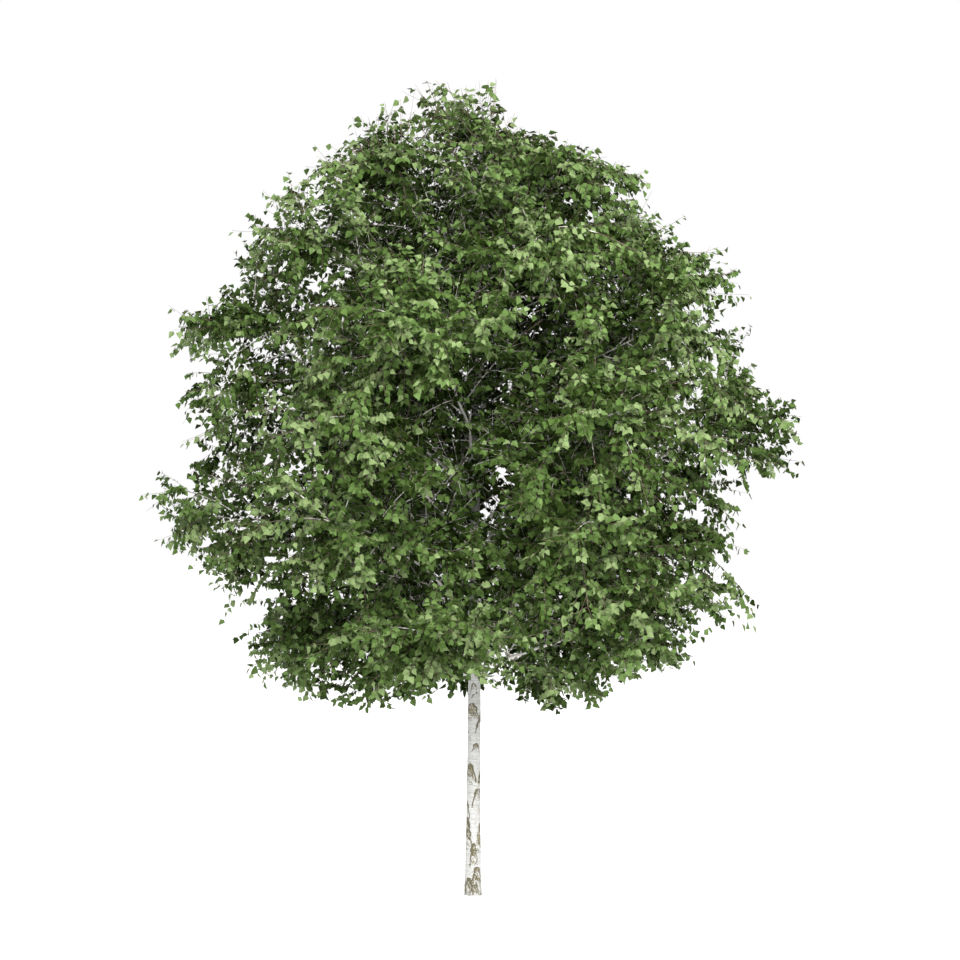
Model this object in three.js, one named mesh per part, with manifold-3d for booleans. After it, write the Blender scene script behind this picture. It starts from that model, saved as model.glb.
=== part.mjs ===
// A young silver birch in full leaf, rooted in the ground: one white stem with a slight root flare,
// slender boughs that rise from it in six rings, and a dense round crown of one leafy mass on the end
// of each bough and one on the leading shoot.
//
// Millimetres, +Z up. The origin is the middle of the flat cut at ground level, +X is the tree's
// right hand and -Y its front. Every limb and mass is grown from the named sizes below.

import * as THREE from "three";
import { mergeVertices } from "three/addons/utils/BufferGeometryUtils.js";
import Module from "manifold-3d";

const wasm = await Module();
wasm.setup();

// ---------------------------------------------------------------- driving dimensions

const GAP = 0.3; // between two solids that meet

const TRUNK = {
  height: 5150, // to the foot of the leading shoot
  buttRadius: 53,
  tipRadius: 9,
  taperPower: 1.4,
  flare: 11, // how far the foot spreads past the butt
  flareFade: 220, // height over which the flare dies away
  lean: new THREE.Vector2(60, 40), // how far the tip stands from over the foot
  sway: 16, // how far it strays to each side of that line
  sides: 12,
  ringPower: 1.5, // draws its rings together towards the foot
  steps: 16,
};

const CROWN = {
  top: 6050,
  floor: 1340,
  waist: 3300, // height of the widest part
  radius: 2235,
  domePower: 0.8, // how pointed the crown is above its waist
  skirtPower: 0.33, // and how square below it
  slack: 50, // a leaf may stand this far past the even outline
  lobe: 0.08, // how far it bulges, as a share of its radius
  lobeHeight: 3410, // where it bulges to +X
  lobePitch: 1290, // the bulge winds once round the crown in this height
  lobeTighten: 0.2, // and in less above lobeHeight: the share of a pitch gained over the first pitch
};

// One ring of boughs each, from the ground up: the heights of the tips of its limbs, and of their
// feet, which spiral up the trunk from footLow to footHigh.
const TIERS = [
  { name: "skirt", limbs: 5, turn: -30, height: 1960, footLow: 1640, footHigh: 1800 },
  { name: "lower", limbs: 6, turn: 180, height: 2760, footLow: 1880, footHigh: 2200 },
  { name: "middle", limbs: 6, turn: 0, height: 3480, footLow: 2330, footHigh: 2720 },
  { name: "upper", limbs: 5, turn: 180, height: 4160, footLow: 2900, footHigh: 3250 },
  { name: "shoulder", limbs: 4, turn: 20, height: 4760, footLow: 3500, footHigh: 3850 },
  { name: "crest", limbs: 3, turn: 70, height: 5330, footLow: 4150, footHigh: 4450 },
];

const LIMB = {
  bow: 0.13, // how far a limb arches over its chord, as a share of it
  sweep: 0.1, // how far it bends sideways, likewise
  turnSpread: 0.12, // how far limbs stray from even turns, as a share of one turn
  heightSpread: 60, // and their tips from the height of the tier
  boughShare: 0.38, // a bough ends this far along its limb, where it enters its mass
  footShare: 0.3, // a bough's foot against the trunk there
  footExtra: 3,
  entryShare: 0.62, // its radius where it enters the mass, against its foot
  tipRadius: 4,
  sides: 5,
  steps: 3,
  spacing: 15, // of the points along limbs that foliage keeps clear of
};

const LEADER = { lean: 60, centreShare: 0.5 };

const MASS = {
  centreShare: 0.62, // the middle of a mass, along its limb
  radius: 1500, // it can't meet a limb that is further than this from its middle
  margin: 8, // kept clear on each side of the plane between two masses
  limbClearance: 5,
  stemSides: 3,
  stemSteps: 3,
};

const TWIG = {
  count: 5,
  first: 0.08, // where the first and last leave the stem
  last: 0.82,
  length: 660,
  shorten: 0.45, // by how much the last is shorter than one at the foot would be
  lengthSpread: 0.12,
  lean: 54, // degrees from the stem
  leanSpread: 8,
  lift: 0.16, // how far a twig arches, as a share of its length
  footRadius: 6,
  tipRadius: 4.5,
  sides: 3,
  steps: 1, // one straight step stands for its arch
  samples: 12, // places along it that are kept clear of the limbs
  tries: [1, 0.8, 0.6, 0.4], // shares of its length at which a twig may still fit its space
};

const LEAF = {
  places: [0.27, 0.53, 0.78, 1], // shares of a twig where leaves stand, on alternate sides
  stemPlaces: [0.12, 0.28, 0.45, 0.65, 0.82, 1],
  length: 430,
  width: 380,
  thickness: 7,
  widest: 0.42, // share of the length
  ridge: 0.07, // where it is thickest
  droop: 0.12, // how far its sides hang, as a share of the half width
  sizeSpread: 0.12,
  sunk: 2.2, // how far its root lies behind the middle of its twig
  // The way a leaf points: along its twig, out to its side and up, and how far up varies.
  aside: { along: 0.2, side: 0.8 },
  atEnd: { along: 1, side: 0.2 },
  rise: -0.12,
  riseSpread: 0.33,
  // The way its upper side faces: up, away from the middle of the crown, and any other way.
  faceUp: 0.45,
  faceOut: 0.6,
  faceSpread: 0.7,
  tipRoom: 0.9, // room left for a leaf past the end of a stem or twig, against its length
  gap: 4, // kept clear between two leaves
  tries: 12, // different turns that a leaf is given until it fits
};

const GOLDEN_ANGLE = Math.PI * (3 - Math.sqrt(5));
const UP = new THREE.Vector3(0, 0, 1);
const CROWN_MIDDLE = new THREE.Vector3(0, 0, CROWN.waist);

// ---------------------------------------------------------------- materials

const barkMaterial = new THREE.MeshStandardMaterial({ color: 0xe2e1db, roughness: 0.75, metalness: 0 });
const boughMaterial = new THREE.MeshStandardMaterial({ color: 0xcfcac2, roughness: 0.75, metalness: 0 });
const foliageMaterial = new THREE.MeshStandardMaterial({ color: 0x5b7a45, roughness: 0.55, metalness: 0 });

// ---------------------------------------------------------------- helpers

/** Numbers from 0 to 1 that are the same for the same seed. */
function seededRandom(seed) {
  const span = 2 ** 32;
  let state = (seed * 2654435761) % span;
  return () => {
    state = (state * 1664525 + 1013904223) % span;
    return state / span;
  };
}

/** Numbers from -1 to 1, likewise. */
const seededSwing = (random) => () => 2 * random() - 1;

/** A closed three.js geometry as a solid that can be cut and joined. */
function solidFrom(geometry) {
  const bare = geometry.clone();
  bare.deleteAttribute("normal");
  bare.deleteAttribute("uv");
  const merged = mergeVertices(bare, 1e-3);
  return new wasm.Manifold(
    new wasm.Mesh({
      numProp: 3,
      vertProperties: merged.attributes.position.array,
      triVerts: new Uint32Array(merged.index.array),
    }),
  );
}

/** A solid as a three.js geometry. */
function geometryFrom(solid) {
  const made = solid.getMesh();
  const geometry = new THREE.BufferGeometry();
  geometry.setAttribute("position", new THREE.BufferAttribute(made.vertProperties, 3));
  geometry.setIndex(new THREE.BufferAttribute(made.triVerts, 1));
  geometry.computeVertexNormals();
  return geometry;
}

function namedMesh(name, geometry, material) {
  const mesh = new THREE.Mesh(geometry, material);
  mesh.name = name;
  return mesh;
}

/** The middle of a limb of that many straight steps, at a share of its path. */
function limbPoint(path, share, steps) {
  const row = Math.min(steps - 1, Math.floor(share * steps));
  const start = path.getPointAt(row / steps);
  return start.lerp(path.getPointAt((row + 1) / steps), share * steps - row);
}

/** A frame on a limb at a share of its path: along it, level to its side, and square to both. */
function frameAt(path, share, steps) {
  const chord = path.getPoint(1).sub(path.getPoint(0)).normalize();
  const level = Math.abs(chord.z) > 0.97 ? new THREE.Vector3(0, 1, 0) : UP;
  const along = path.getTangentAt(share);
  const side = new THREE.Vector3().crossVectors(along, level).normalize();
  const over = new THREE.Vector3().crossVectors(side, along);
  return { place: limbPoint(path, share, steps), along, side, over };
}

/** A tapering cylinder bent along a path. Three sides face left, right and up. */
function limbGeometry(path, footRadius, tipRadius, sides, steps) {
  const geometry = new THREE.CylinderGeometry(tipRadius, footRadius, 1, sides, steps);
  const corners = geometry.attributes.position;
  for (let i = 0; i < corners.count; i++) {
    const { place, side, over } = frameAt(path, corners.getY(i) + 0.5, steps);
    place.addScaledVector(side, -corners.getX(i)).addScaledVector(over, -corners.getZ(i));
    corners.setXYZ(i, place.x, place.y, place.z);
  }
  return geometry;
}

// ---------------------------------------------------------------- trunk

/** The middle of the trunk at a height. */
function trunkPoint(height) {
  const share = height / TRUNK.height;
  const curve = share ** 2;
  return new THREE.Vector3(
    TRUNK.lean.x * curve + TRUNK.sway * Math.sin(2 * Math.PI * share) * share,
    TRUNK.lean.y * curve - TRUNK.sway * Math.sin(3 * Math.PI * share) * share,
    height,
  );
}

function trunkRadius(height) {
  const taper = 1 - (height / TRUNK.height) ** TRUNK.taperPower;
  const flare = TRUNK.flare * Math.exp(-height / TRUNK.flareFade);
  return TRUNK.tipRadius + (TRUNK.buttRadius - TRUNK.tipRadius) * taper + flare;
}

/** The trunk with level rings, closer together in the root flare, and grown by extra all round. */
function trunkSolid(extra = 0) {
  const geometry = new THREE.CylinderGeometry(1, 1, 1, TRUNK.sides, TRUNK.steps);
  const corners = geometry.attributes.position;
  for (let i = 0; i < corners.count; i++) {
    const height = TRUNK.height * (corners.getY(i) + 0.5) ** TRUNK.ringPower;
    const middle = trunkPoint(height);
    const radius = trunkRadius(height) + extra;
    // The cylinder's own axis is Y, so its X and -Z become the trunk's X and Y.
    corners.setXYZ(i, middle.x + corners.getX(i) * radius, middle.y - corners.getZ(i) * radius, height);
  }
  return solidFrom(geometry);
}

// ---------------------------------------------------------------- limbs

/** How far the crown stands out from the trunk at a height, in the direction turn. */
function crownReach(height, turn) {
  const above = height > CROWN.waist;
  const span = above ? CROWN.top - CROWN.waist : CROWN.waist - CROWN.floor;
  const off = Math.min(1, Math.abs(height - CROWN.waist) / span);
  const even = CROWN.radius * (1 - off ** 2) ** (above ? CROWN.domePower : CROWN.skirtPower);
  const pitches = (height - CROWN.lobeHeight) / CROWN.lobePitch;
  const turns = pitches + CROWN.lobeTighten * Math.max(0, pitches) ** 2;
  return even * (1 + CROWN.lobe * Math.cos(turn - 2 * Math.PI * turns));
}

/** One limb of a tier: its whole line from the trunk to its tip, and that line cut in two. */
function growLimb(tier, index, seed) {
  const swing = seededSwing(seededRandom(seed));
  const turn = THREE.MathUtils.degToRad(tier.turn + (360 / tier.limbs) * (index + LIMB.turnSpread * swing()));
  const outward = new THREE.Vector3(Math.cos(turn), Math.sin(turn), 0);
  const sideways = new THREE.Vector3(-outward.y, outward.x, 0);
  // Each foot in a ring stands well above or below its neighbours on the trunk.
  const rung = ((index * 2) % tier.limbs) / (tier.limbs - 1);
  const footHeight = THREE.MathUtils.lerp(tier.footLow, tier.footHigh, rung);
  const foot = trunkPoint(footHeight);
  const tip = outward.clone().multiplyScalar(crownReach(tier.height, turn) - LEAF.tipRoom * LEAF.length);
  tip.z = tier.height + LIMB.heightSpread * swing();
  const chord = foot.distanceTo(tip);
  const bend = foot
    .clone()
    .lerp(tip, 0.5)
    .addScaledVector(UP, LIMB.bow * chord)
    .addScaledVector(sideways, LIMB.sweep * chord * swing());
  const line = new THREE.QuadraticBezierCurve3(foot, bend, tip);
  const entry = line.getPoint(LIMB.boughShare);
  const footRadius = LIMB.footShare * trunkRadius(footHeight) + LIMB.footExtra;
  return {
    name: `${tier.name}_${index + 1}`,
    seed,
    footRadius,
    entryRadius: footRadius * LIMB.entryShare,
    bough: new THREE.QuadraticBezierCurve3(foot, foot.clone().lerp(bend, LIMB.boughShare), entry),
    stem: stemAfter(entry, bend.clone().lerp(tip, LIMB.boughShare), tip),
    centre: line.getPoint(MASS.centreShare),
  };
}

/** The line of a mass's stem, which starts just clear of the limb's end at entry. */
function stemAfter(entry, bend, tip) {
  const onward = bend.clone().sub(entry).normalize();
  return new THREE.QuadraticBezierCurve3(entry.clone().addScaledVector(onward, GAP), bend, tip);
}

/** The leading shoot goes on from the trunk's tip. */
function growLeader(seed) {
  const foot = trunkPoint(TRUNK.height);
  const tip = new THREE.Vector3(foot.x + LEADER.lean, foot.y, CROWN.top - LEAF.length);
  const bend = new THREE.Vector3(foot.x, foot.y, (foot.z + tip.z) / 2);
  const stem = stemAfter(foot, bend, tip);
  const centre = stem.getPoint(LEADER.centreShare);
  return { name: "leader", seed, entryRadius: TRUNK.tipRadius, stem, centre };
}

function growLimbs() {
  const limbs = [];
  for (const tier of TIERS) {
    for (let index = 0; index < tier.limbs; index++) limbs.push(growLimb(tier, index, limbs.length + 1));
  }
  limbs.push(growLeader(limbs.length + 1));
  return limbs;
}

/** A bough, cut clear of the trunk that it grows from. */
function boughSolid(limb, trunkGrown) {
  const line = limbGeometry(limb.bough, limb.footRadius, limb.entryRadius, LIMB.sides, LIMB.steps);
  return solidFrom(line).subtract(trunkGrown);
}

// ---------------------------------------------------------------- the space of a mass

/** Points along the middle of the trunk and every bough, with the radius there. */
function limbPoints(limbs) {
  const points = [];
  for (let height = 0; height <= TRUNK.height; height += LIMB.spacing) {
    points.push({ place: trunkPoint(height), radius: trunkRadius(height) });
  }
  for (const limb of limbs.filter((each) => each.bough)) {
    const steps = Math.ceil(limb.bough.getLength() / LIMB.spacing);
    limb.bough.getSpacedPoints(steps).forEach((place, i) => {
      points.push({ place, radius: THREE.MathUtils.lerp(limb.footRadius, limb.entryRadius, i / steps) });
    });
  }
  return points;
}

/** True if a place is in the crown and nearer to this mass's middle than to any other's. */
function inSpace(place, limb, limbs) {
  const reach = crownReach(place.z, Math.atan2(place.y, place.x));
  if (Math.hypot(place.x, place.y) > reach + CROWN.slack || place.z > CROWN.top) return false;
  const own = place.distanceToSquared(limb.centre);
  return limbs.every(({ centre }) => {
    if (centre === limb.centre) return true;
    const past = (place.distanceToSquared(centre) - own) / (2 * centre.distanceTo(limb.centre));
    return past > MASS.margin;
  });
}

/** True if no limb comes nearer to these triangles than the clearance and extra. */
function clearOfLimbs(triangles, wood, extra) {
  const nearest = new THREE.Vector3();
  return wood.every(({ place, radius }) =>
    triangles.every((triangle) => {
      triangle.closestPointToPoint(place, nearest);
      return nearest.distanceTo(place) > radius + MASS.limbClearance + extra;
    }),
  );
}

// ---------------------------------------------------------------- twigs and leaves

/** The lines of a stem's twigs: each turns by the golden angle round the stem from the last. */
function twigLines(stem, random) {
  const swing = seededSwing(random);
  const lines = [];
  let turn = 2 * Math.PI * random();
  for (let i = 0; i < TWIG.count; i++) {
    const share = THREE.MathUtils.lerp(TWIG.first, TWIG.last, i / (TWIG.count - 1));
    const { place, along, side, over } = frameAt(stem, share, MASS.stemSteps);
    turn += GOLDEN_ANGLE;
    const round = side.multiplyScalar(Math.cos(turn)).addScaledVector(over, Math.sin(turn));
    const lean = THREE.MathUtils.degToRad(TWIG.lean + TWIG.leanSpread * swing());
    const heading = along.multiplyScalar(Math.cos(lean)).addScaledVector(round, Math.sin(lean));
    const length = TWIG.length * (1 - TWIG.shorten * share) * (1 + TWIG.lengthSpread * swing());
    lines.push({ foot: place, heading, length, hand: i % 2 ? 1 : -1 });
  }
  return lines;
}

/** A twig's path at a share of its full length. It arches up from its heading. */
function twigPath(line, share) {
  const length = line.length * share;
  const tip = line.foot.clone().addScaledVector(line.heading, length);
  const bend = line.foot.clone().lerp(tip, 0.5).addScaledVector(UP, TWIG.lift * length);
  return new THREE.QuadraticBezierCurve3(line.foot, bend, tip);
}

/** Where a leaf stands: its root, the way it points and the way its upper side faces. */
function leafPlace(shoot, share, hand, outward, swing) {
  const { place, along, side } = frameAt(shoot.path, share, shoot.steps);
  const pointing = share === 1 ? LEAF.atEnd : LEAF.aside;
  const tipward = along
    .clone()
    .multiplyScalar(pointing.along)
    .addScaledVector(side, hand * pointing.side)
    .addScaledVector(UP, LEAF.rise + LEAF.riseSpread * swing())
    .normalize();
  const face = new THREE.Vector3(swing(), swing(), swing())
    .multiplyScalar(LEAF.faceSpread)
    .addScaledVector(UP, LEAF.faceUp)
    .addScaledVector(outward, LEAF.faceOut);
  face.addScaledVector(tipward, -face.dot(tipward)).normalize();
  const across = new THREE.Vector3().crossVectors(tipward, face);
  const root = place.clone().addScaledVector(tipward, -LEAF.sunk);
  return { root, tipward, face, across, size: 1 + LEAF.sizeSpread * swing() };
}

/** A leaf of eight faces: an octahedron drawn out to a birch leaf's outline. */
function leafSolid(at) {
  const geometry = new THREE.OctahedronGeometry(1, 0);
  const corners = geometry.attributes.position;
  const length = LEAF.length * at.size;
  for (let i = 0; i < corners.count; i++) {
    const [x, y, z] = [corners.getX(i), corners.getY(i), corners.getZ(i)];
    const middle = Math.abs(z) > 0.5 ? LEAF.ridge : LEAF.widest;
    const along = length * (y > 0.5 ? 1 : y < -0.5 ? 0 : middle);
    const across = (LEAF.width / 2) * at.size * x;
    const over = (LEAF.thickness / 2) * z - LEAF.droop * Math.abs(across);
    const place = at.root
      .clone()
      .addScaledVector(at.tipward, along)
      .addScaledVector(at.across, across)
      .addScaledVector(at.face, over);
    corners.setXYZ(i, place.x, place.y, place.z);
  }
  return solidFrom(geometry);
}

/** True if a leaf keeps to its mass's space and clear of the limbs. */
function leafFits(at, limb, limbs, wood) {
  const [length, halfWidth] = [LEAF.length * at.size, (LEAF.width / 2) * at.size];
  const tip = at.root.clone().addScaledVector(at.tipward, length);
  const [left, right] = [-halfWidth, halfWidth].map((across) =>
    at.root
      .clone()
      .addScaledVector(at.tipward, length * LEAF.widest)
      .addScaledVector(at.across, across)
      .addScaledVector(at.face, -LEAF.droop * halfWidth),
  );
  if (![tip, left, right].every((corner) => inSpace(corner, limb, limbs))) return false;
  const halves = [new THREE.Triangle(at.root, left, tip), new THREE.Triangle(at.root, tip, right)];
  return clearOfLimbs(halves, wood, LEAF.thickness);
}

/** The longest try of a twig that keeps to the mass's space, or null. */
function fittingTwig(line, limb, limbs, wood) {
  for (const share of TWIG.tries) {
    const path = twigPath(line, share);
    const beyond = path.getPoint(1).addScaledVector(path.getTangent(1), LEAF.tipRoom * LEAF.length);
    const places = path.getSpacedPoints(TWIG.samples);
    const clear = wood.every(({ place, radius }) =>
      places.every((each) => each.distanceTo(place) > radius + MASS.limbClearance + TWIG.footRadius),
    );
    if (clear && inSpace(beyond, limb, limbs)) return path;
  }
  return null;
}

// ---------------------------------------------------------------- masses

/** One mass of foliage: a stem with three sides, its twigs, and leaves fused on to them. */
function massSolid(limb, limbs, wood) {
  const random = seededRandom(limb.seed);
  const swing = seededSwing(random);
  const outward = limb.centre.clone().sub(CROWN_MIDDLE).normalize();
  const nearWood = wood.filter(({ place }) => place.distanceTo(limb.centre) < MASS.radius);

  const stem = limbGeometry(limb.stem, limb.entryRadius, LIMB.tipRadius, MASS.stemSides, MASS.stemSteps);
  const shoots = [
    { path: limb.stem, steps: MASS.stemSteps, places: LEAF.stemPlaces, hand: 1, solid: solidFrom(stem) },
  ];
  for (const line of twigLines(limb.stem, random)) {
    const path = fittingTwig(line, limb, limbs, nearWood);
    if (!path) continue;
    const solid = solidFrom(limbGeometry(path, TWIG.footRadius, TWIG.tipRadius, TWIG.sides, TWIG.steps));
    shoots.push({ path, steps: TWIG.steps, places: LEAF.places, hand: line.hand, solid });
  }

  const leaves = [];
  for (const shoot of shoots) {
    const others = shoots.filter((each) => each !== shoot).map((each) => each.solid);
    shoot.places.forEach((share, i) => {
      for (let tries = 0; tries < LEAF.tries; tries++) {
        const at = leafPlace(shoot, share, i % 2 ? -shoot.hand : shoot.hand, outward, swing);
        if (!leafFits(at, limb, limbs, nearWood)) continue;
        const leaf = leafSolid(at);
        if ([...others, ...leaves].some((other) => leaf.minGap(other, LEAF.gap) < LEAF.gap)) continue;
        leaves.push(leaf);
        return;
      }
    });
  }
  return wasm.Manifold.union([...shoots.map((each) => each.solid), ...leaves]);
}

// ---------------------------------------------------------------- the tree

function makeBirch() {
  const birch = new THREE.Group();
  const limbs = growLimbs();
  const wood = limbPoints(limbs);
  const trunkGrown = trunkSolid(GAP);
  birch.add(namedMesh("trunk", geometryFrom(trunkSolid()), barkMaterial));
  for (const limb of limbs) {
    if (limb.bough) {
      birch.add(namedMesh(`bough_${limb.name}`, geometryFrom(boughSolid(limb, trunkGrown)), boughMaterial));
    }
    birch.add(namedMesh(`foliage_${limb.name}`, geometryFrom(massSolid(limb, limbs, wood)), foliageMaterial));
  }
  return birch;
}

export default makeBirch();
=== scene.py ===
# %% [markdown]
# # A young silver birch in full leaf
#
# This lesson dresses a plain CAD tree. The CAD part has a trunk, boughs and one solid for each mass
# of foliage. Here each of them is replaced by a mesh that can be looked at closely: a trunk with
# birch bark, boughs that fork into twigs, and well over a hundred thousand leaves.
#
# The first cell loads the CAD part as a fixed frame. Nothing in the frame is ever moved. Everything
# below is in metres, with +Z up, -Y towards the viewer and the origin at the foot of the trunk.

# %% Load the frame
import math

import bpy
import numpy as np
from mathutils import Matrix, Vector


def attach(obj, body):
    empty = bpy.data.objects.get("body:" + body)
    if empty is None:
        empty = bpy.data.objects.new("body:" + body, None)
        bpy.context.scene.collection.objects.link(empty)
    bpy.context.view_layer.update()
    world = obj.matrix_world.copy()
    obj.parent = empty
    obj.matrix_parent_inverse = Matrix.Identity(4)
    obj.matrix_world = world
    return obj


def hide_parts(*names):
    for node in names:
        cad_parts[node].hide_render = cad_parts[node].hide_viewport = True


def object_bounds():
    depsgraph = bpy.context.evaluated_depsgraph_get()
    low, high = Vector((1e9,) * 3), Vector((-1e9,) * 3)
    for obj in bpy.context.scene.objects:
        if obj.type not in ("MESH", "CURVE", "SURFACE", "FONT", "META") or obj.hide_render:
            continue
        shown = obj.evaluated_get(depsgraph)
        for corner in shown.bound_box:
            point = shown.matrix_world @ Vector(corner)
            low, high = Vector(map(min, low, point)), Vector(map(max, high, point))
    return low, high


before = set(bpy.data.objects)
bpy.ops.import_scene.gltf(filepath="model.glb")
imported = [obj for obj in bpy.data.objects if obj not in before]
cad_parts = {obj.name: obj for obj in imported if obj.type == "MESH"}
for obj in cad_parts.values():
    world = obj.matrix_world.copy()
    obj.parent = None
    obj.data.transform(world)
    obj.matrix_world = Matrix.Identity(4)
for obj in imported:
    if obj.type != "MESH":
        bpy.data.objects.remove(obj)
cad_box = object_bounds()
print("CAD box in metres:", cad_box)

# %% [markdown]
# ## The tree's sizes
#
# A tree is easier to steer by a few named sizes than by modelling each limb. These are the same
# sizes that the CAD part was grown from, so the dressed limbs lie where the plain ones are. The
# crown is a round body of revolution with a bulge that winds once round it, and the boughs come in
# six rings, which this file calls tiers.

# %% Sizes of the trunk, crown and limbs
TRUNK = {
    "height": 5.150,
    "butt_radius": 0.053,
    "tip_radius": 0.009,
    "taper_power": 1.4,
    "flare": 0.011,
    "flare_fade": 0.220,
    "lean": (0.060, 0.040),
    "sway": 0.016,
}
CROWN = {
    "top": 6.050,
    "floor": 1.340,
    "waist": 3.300,
    "radius": 2.235,
    "dome_power": 0.8,
    "skirt_power": 0.33,
    "slack": 0.050,
    "lobe": 0.08,
    "lobe_height": 3.410,
    "lobe_pitch": 1.290,
    "lobe_tighten": 0.2,
}
TIERS = [
    {"name": "skirt", "limbs": 5, "turn": -30, "height": 1.960, "foot_low": 1.640, "foot_high": 1.800},
    {"name": "lower", "limbs": 6, "turn": 180, "height": 2.760, "foot_low": 1.880, "foot_high": 2.200},
    {"name": "middle", "limbs": 6, "turn": 0, "height": 3.480, "foot_low": 2.330, "foot_high": 2.720},
    {"name": "upper", "limbs": 5, "turn": 180, "height": 4.160, "foot_low": 2.900, "foot_high": 3.250},
    {"name": "shoulder", "limbs": 4, "turn": 20, "height": 4.760, "foot_low": 3.500, "foot_high": 3.850},
    {"name": "crest", "limbs": 3, "turn": 70, "height": 5.330, "foot_low": 4.150, "foot_high": 4.450},
]
LIMB = {
    "bow": 0.13,
    "sweep": 0.1,
    "turn_spread": 0.12,
    "height_spread": 0.060,
    "bough_share": 0.38,
    "foot_share": 0.3,
    "foot_extra": 0.003,
    "entry_share": 0.62,
    "tip_radius": 0.004,
    "tip_room": 0.387,
}
LEADER = {"lean": 0.060, "centre_share": 0.5, "tip_room": 0.430}
MASS = {"centre_share": 0.62, "margin": 0.008}
UP = np.array([0.0, 0.0, 1.0])
CROWN_MIDDLE = np.array([0.0, 0.0, CROWN["waist"]])
GOLDEN_ANGLE = math.pi * (3 - math.sqrt(5))

# %% [markdown]
# ## Curved lines, many at a time
#
# Every limb, twig and shoot is a curve with a foot, a bend and a tip, which is a quadratic Bezier
# curve. There are thousands of them, and a Python loop over so many is slow. So lines are kept in
# numpy arrays whose last two axes are the three points and their three coordinates, and each
# function below works on one line or on thousands alike.

# %% Lines as arrays
UPRIGHT = 0.97  # a line that climbs by more than this share of its length counts as upright


def unit(vectors):
    """Vectors of length 1."""
    return vectors / np.linalg.norm(vectors, axis=-1, keepdims=True)


def point_on(lines, share):
    """The points of lines at a share of each."""
    t = np.asarray(share)[..., None]
    return (1 - t) ** 2 * lines[..., 0, :] + 2 * t * (1 - t) * lines[..., 1, :] + t**2 * lines[..., 2, :]


def frames_on(lines, share):
    """At a share of each line: the way it runs, level to its side, and square to both."""
    t = np.asarray(share)[..., None]
    foot, bend, tip = lines[..., 0, :], lines[..., 1, :], lines[..., 2, :]
    along = unit((1 - t) * (bend - foot) + t * (tip - bend))
    level = np.where(np.abs(unit(tip - foot)[..., 2:]) > UPRIGHT, [0.0, 1.0, 0.0], UP)
    side = unit(np.cross(along, level))
    return along, side, np.cross(side, along)


def arched(foot, heading, length, lift, droop=0.0):
    """Lines that leave their feet, arch up by lift and let their tips hang by droop."""
    size = length[..., None]
    tip = foot + heading * size - UP * droop * size
    bend = foot + heading * size / 2 + UP * lift * size
    return np.stack([foot, bend, tip], axis=-2)


# %% [markdown]
# ## The limbs
#
# A birch bough leaves the trunk low down, rises, and arches out to the edge of the crown. Each one
# strays a little from its even place in the ring. The numbers for that come from a small seeded
# generator, so that the tree is the same every time, and the same as in the CAD part.

# %% Where the trunk and the limbs run


def seeded_random(seed):
    """Numbers from 0 to 1 that are the same for the same seed: a linear congruential generator."""
    span = 2**32
    state = (seed * 2654435761) % span
    while True:
        state = (state * 1664525 + 1013904223) % span
        yield state / span


def swings(random):
    """Numbers from -1 to 1, likewise."""
    return (2 * number - 1 for number in random)


def trunk_point(height):
    """The middle of the trunk at heights."""
    share = np.asarray(height) / TRUNK["height"]
    x = TRUNK["lean"][0] * share**2 + TRUNK["sway"] * np.sin(2 * np.pi * share) * share
    y = TRUNK["lean"][1] * share**2 - TRUNK["sway"] * np.sin(3 * np.pi * share) * share
    return np.stack([x, y, np.asarray(height, float)], axis=-1)


def trunk_radius(height):
    """The radius of the trunk at heights, with its root flare."""
    taper = 1 - (np.asarray(height) / TRUNK["height"]) ** TRUNK["taper_power"]
    flare = TRUNK["flare"] * np.exp(-np.asarray(height) / TRUNK["flare_fade"])
    return TRUNK["tip_radius"] + (TRUNK["butt_radius"] - TRUNK["tip_radius"]) * taper + flare


def crown_reach(height, turn):
    """How far the crown stands out at heights, in the directions turn."""
    above = height > CROWN["waist"]
    span = np.where(above, CROWN["top"] - CROWN["waist"], CROWN["waist"] - CROWN["floor"])
    off = np.minimum(1, np.abs(height - CROWN["waist"]) / span)
    even = CROWN["radius"] * (1 - off**2) ** np.where(above, CROWN["dome_power"], CROWN["skirt_power"])
    pitches = (height - CROWN["lobe_height"]) / CROWN["lobe_pitch"]
    turns = pitches + CROWN["lobe_tighten"] * np.maximum(0, pitches) ** 2
    return even * (1 + CROWN["lobe"] * np.cos(turn - 2 * np.pi * turns))


def limb_facts(name, tier, seed, line, radius, share):
    """What is known of a limb: its line, the radius of its foot and the middle of its mass."""
    facts = {"name": name, "tier": tier, "seed": seed, "line": line, "radius": radius}
    return dict(facts, centre=point_on(line, share))


def grow_limb(tier, index, seed):
    """One limb of a tier."""
    swing = swings(seeded_random(seed))
    step = 360 / tier["limbs"]
    turn = math.radians(tier["turn"] + step * (index + LIMB["turn_spread"] * next(swing)))
    outward = np.array([math.cos(turn), math.sin(turn), 0.0])
    sideways = np.array([-outward[1], outward[0], 0.0])
    rung = ((index * 2) % tier["limbs"]) / (tier["limbs"] - 1)
    foot_height = tier["foot_low"] + (tier["foot_high"] - tier["foot_low"]) * rung
    foot = trunk_point(foot_height)
    tip = outward * (float(crown_reach(tier["height"], turn)) - LIMB["tip_room"])
    tip[2] = tier["height"] + LIMB["height_spread"] * next(swing)
    chord = np.linalg.norm(tip - foot)
    bend = (foot + tip) / 2 + UP * LIMB["bow"] * chord + sideways * LIMB["sweep"] * chord * next(swing)
    radius = LIMB["foot_share"] * float(trunk_radius(foot_height)) + LIMB["foot_extra"]
    name = f"{tier['name']}_{index + 1}"
    return limb_facts(name, tier["name"], seed, np.stack([foot, bend, tip]), radius, MASS["centre_share"])


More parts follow.
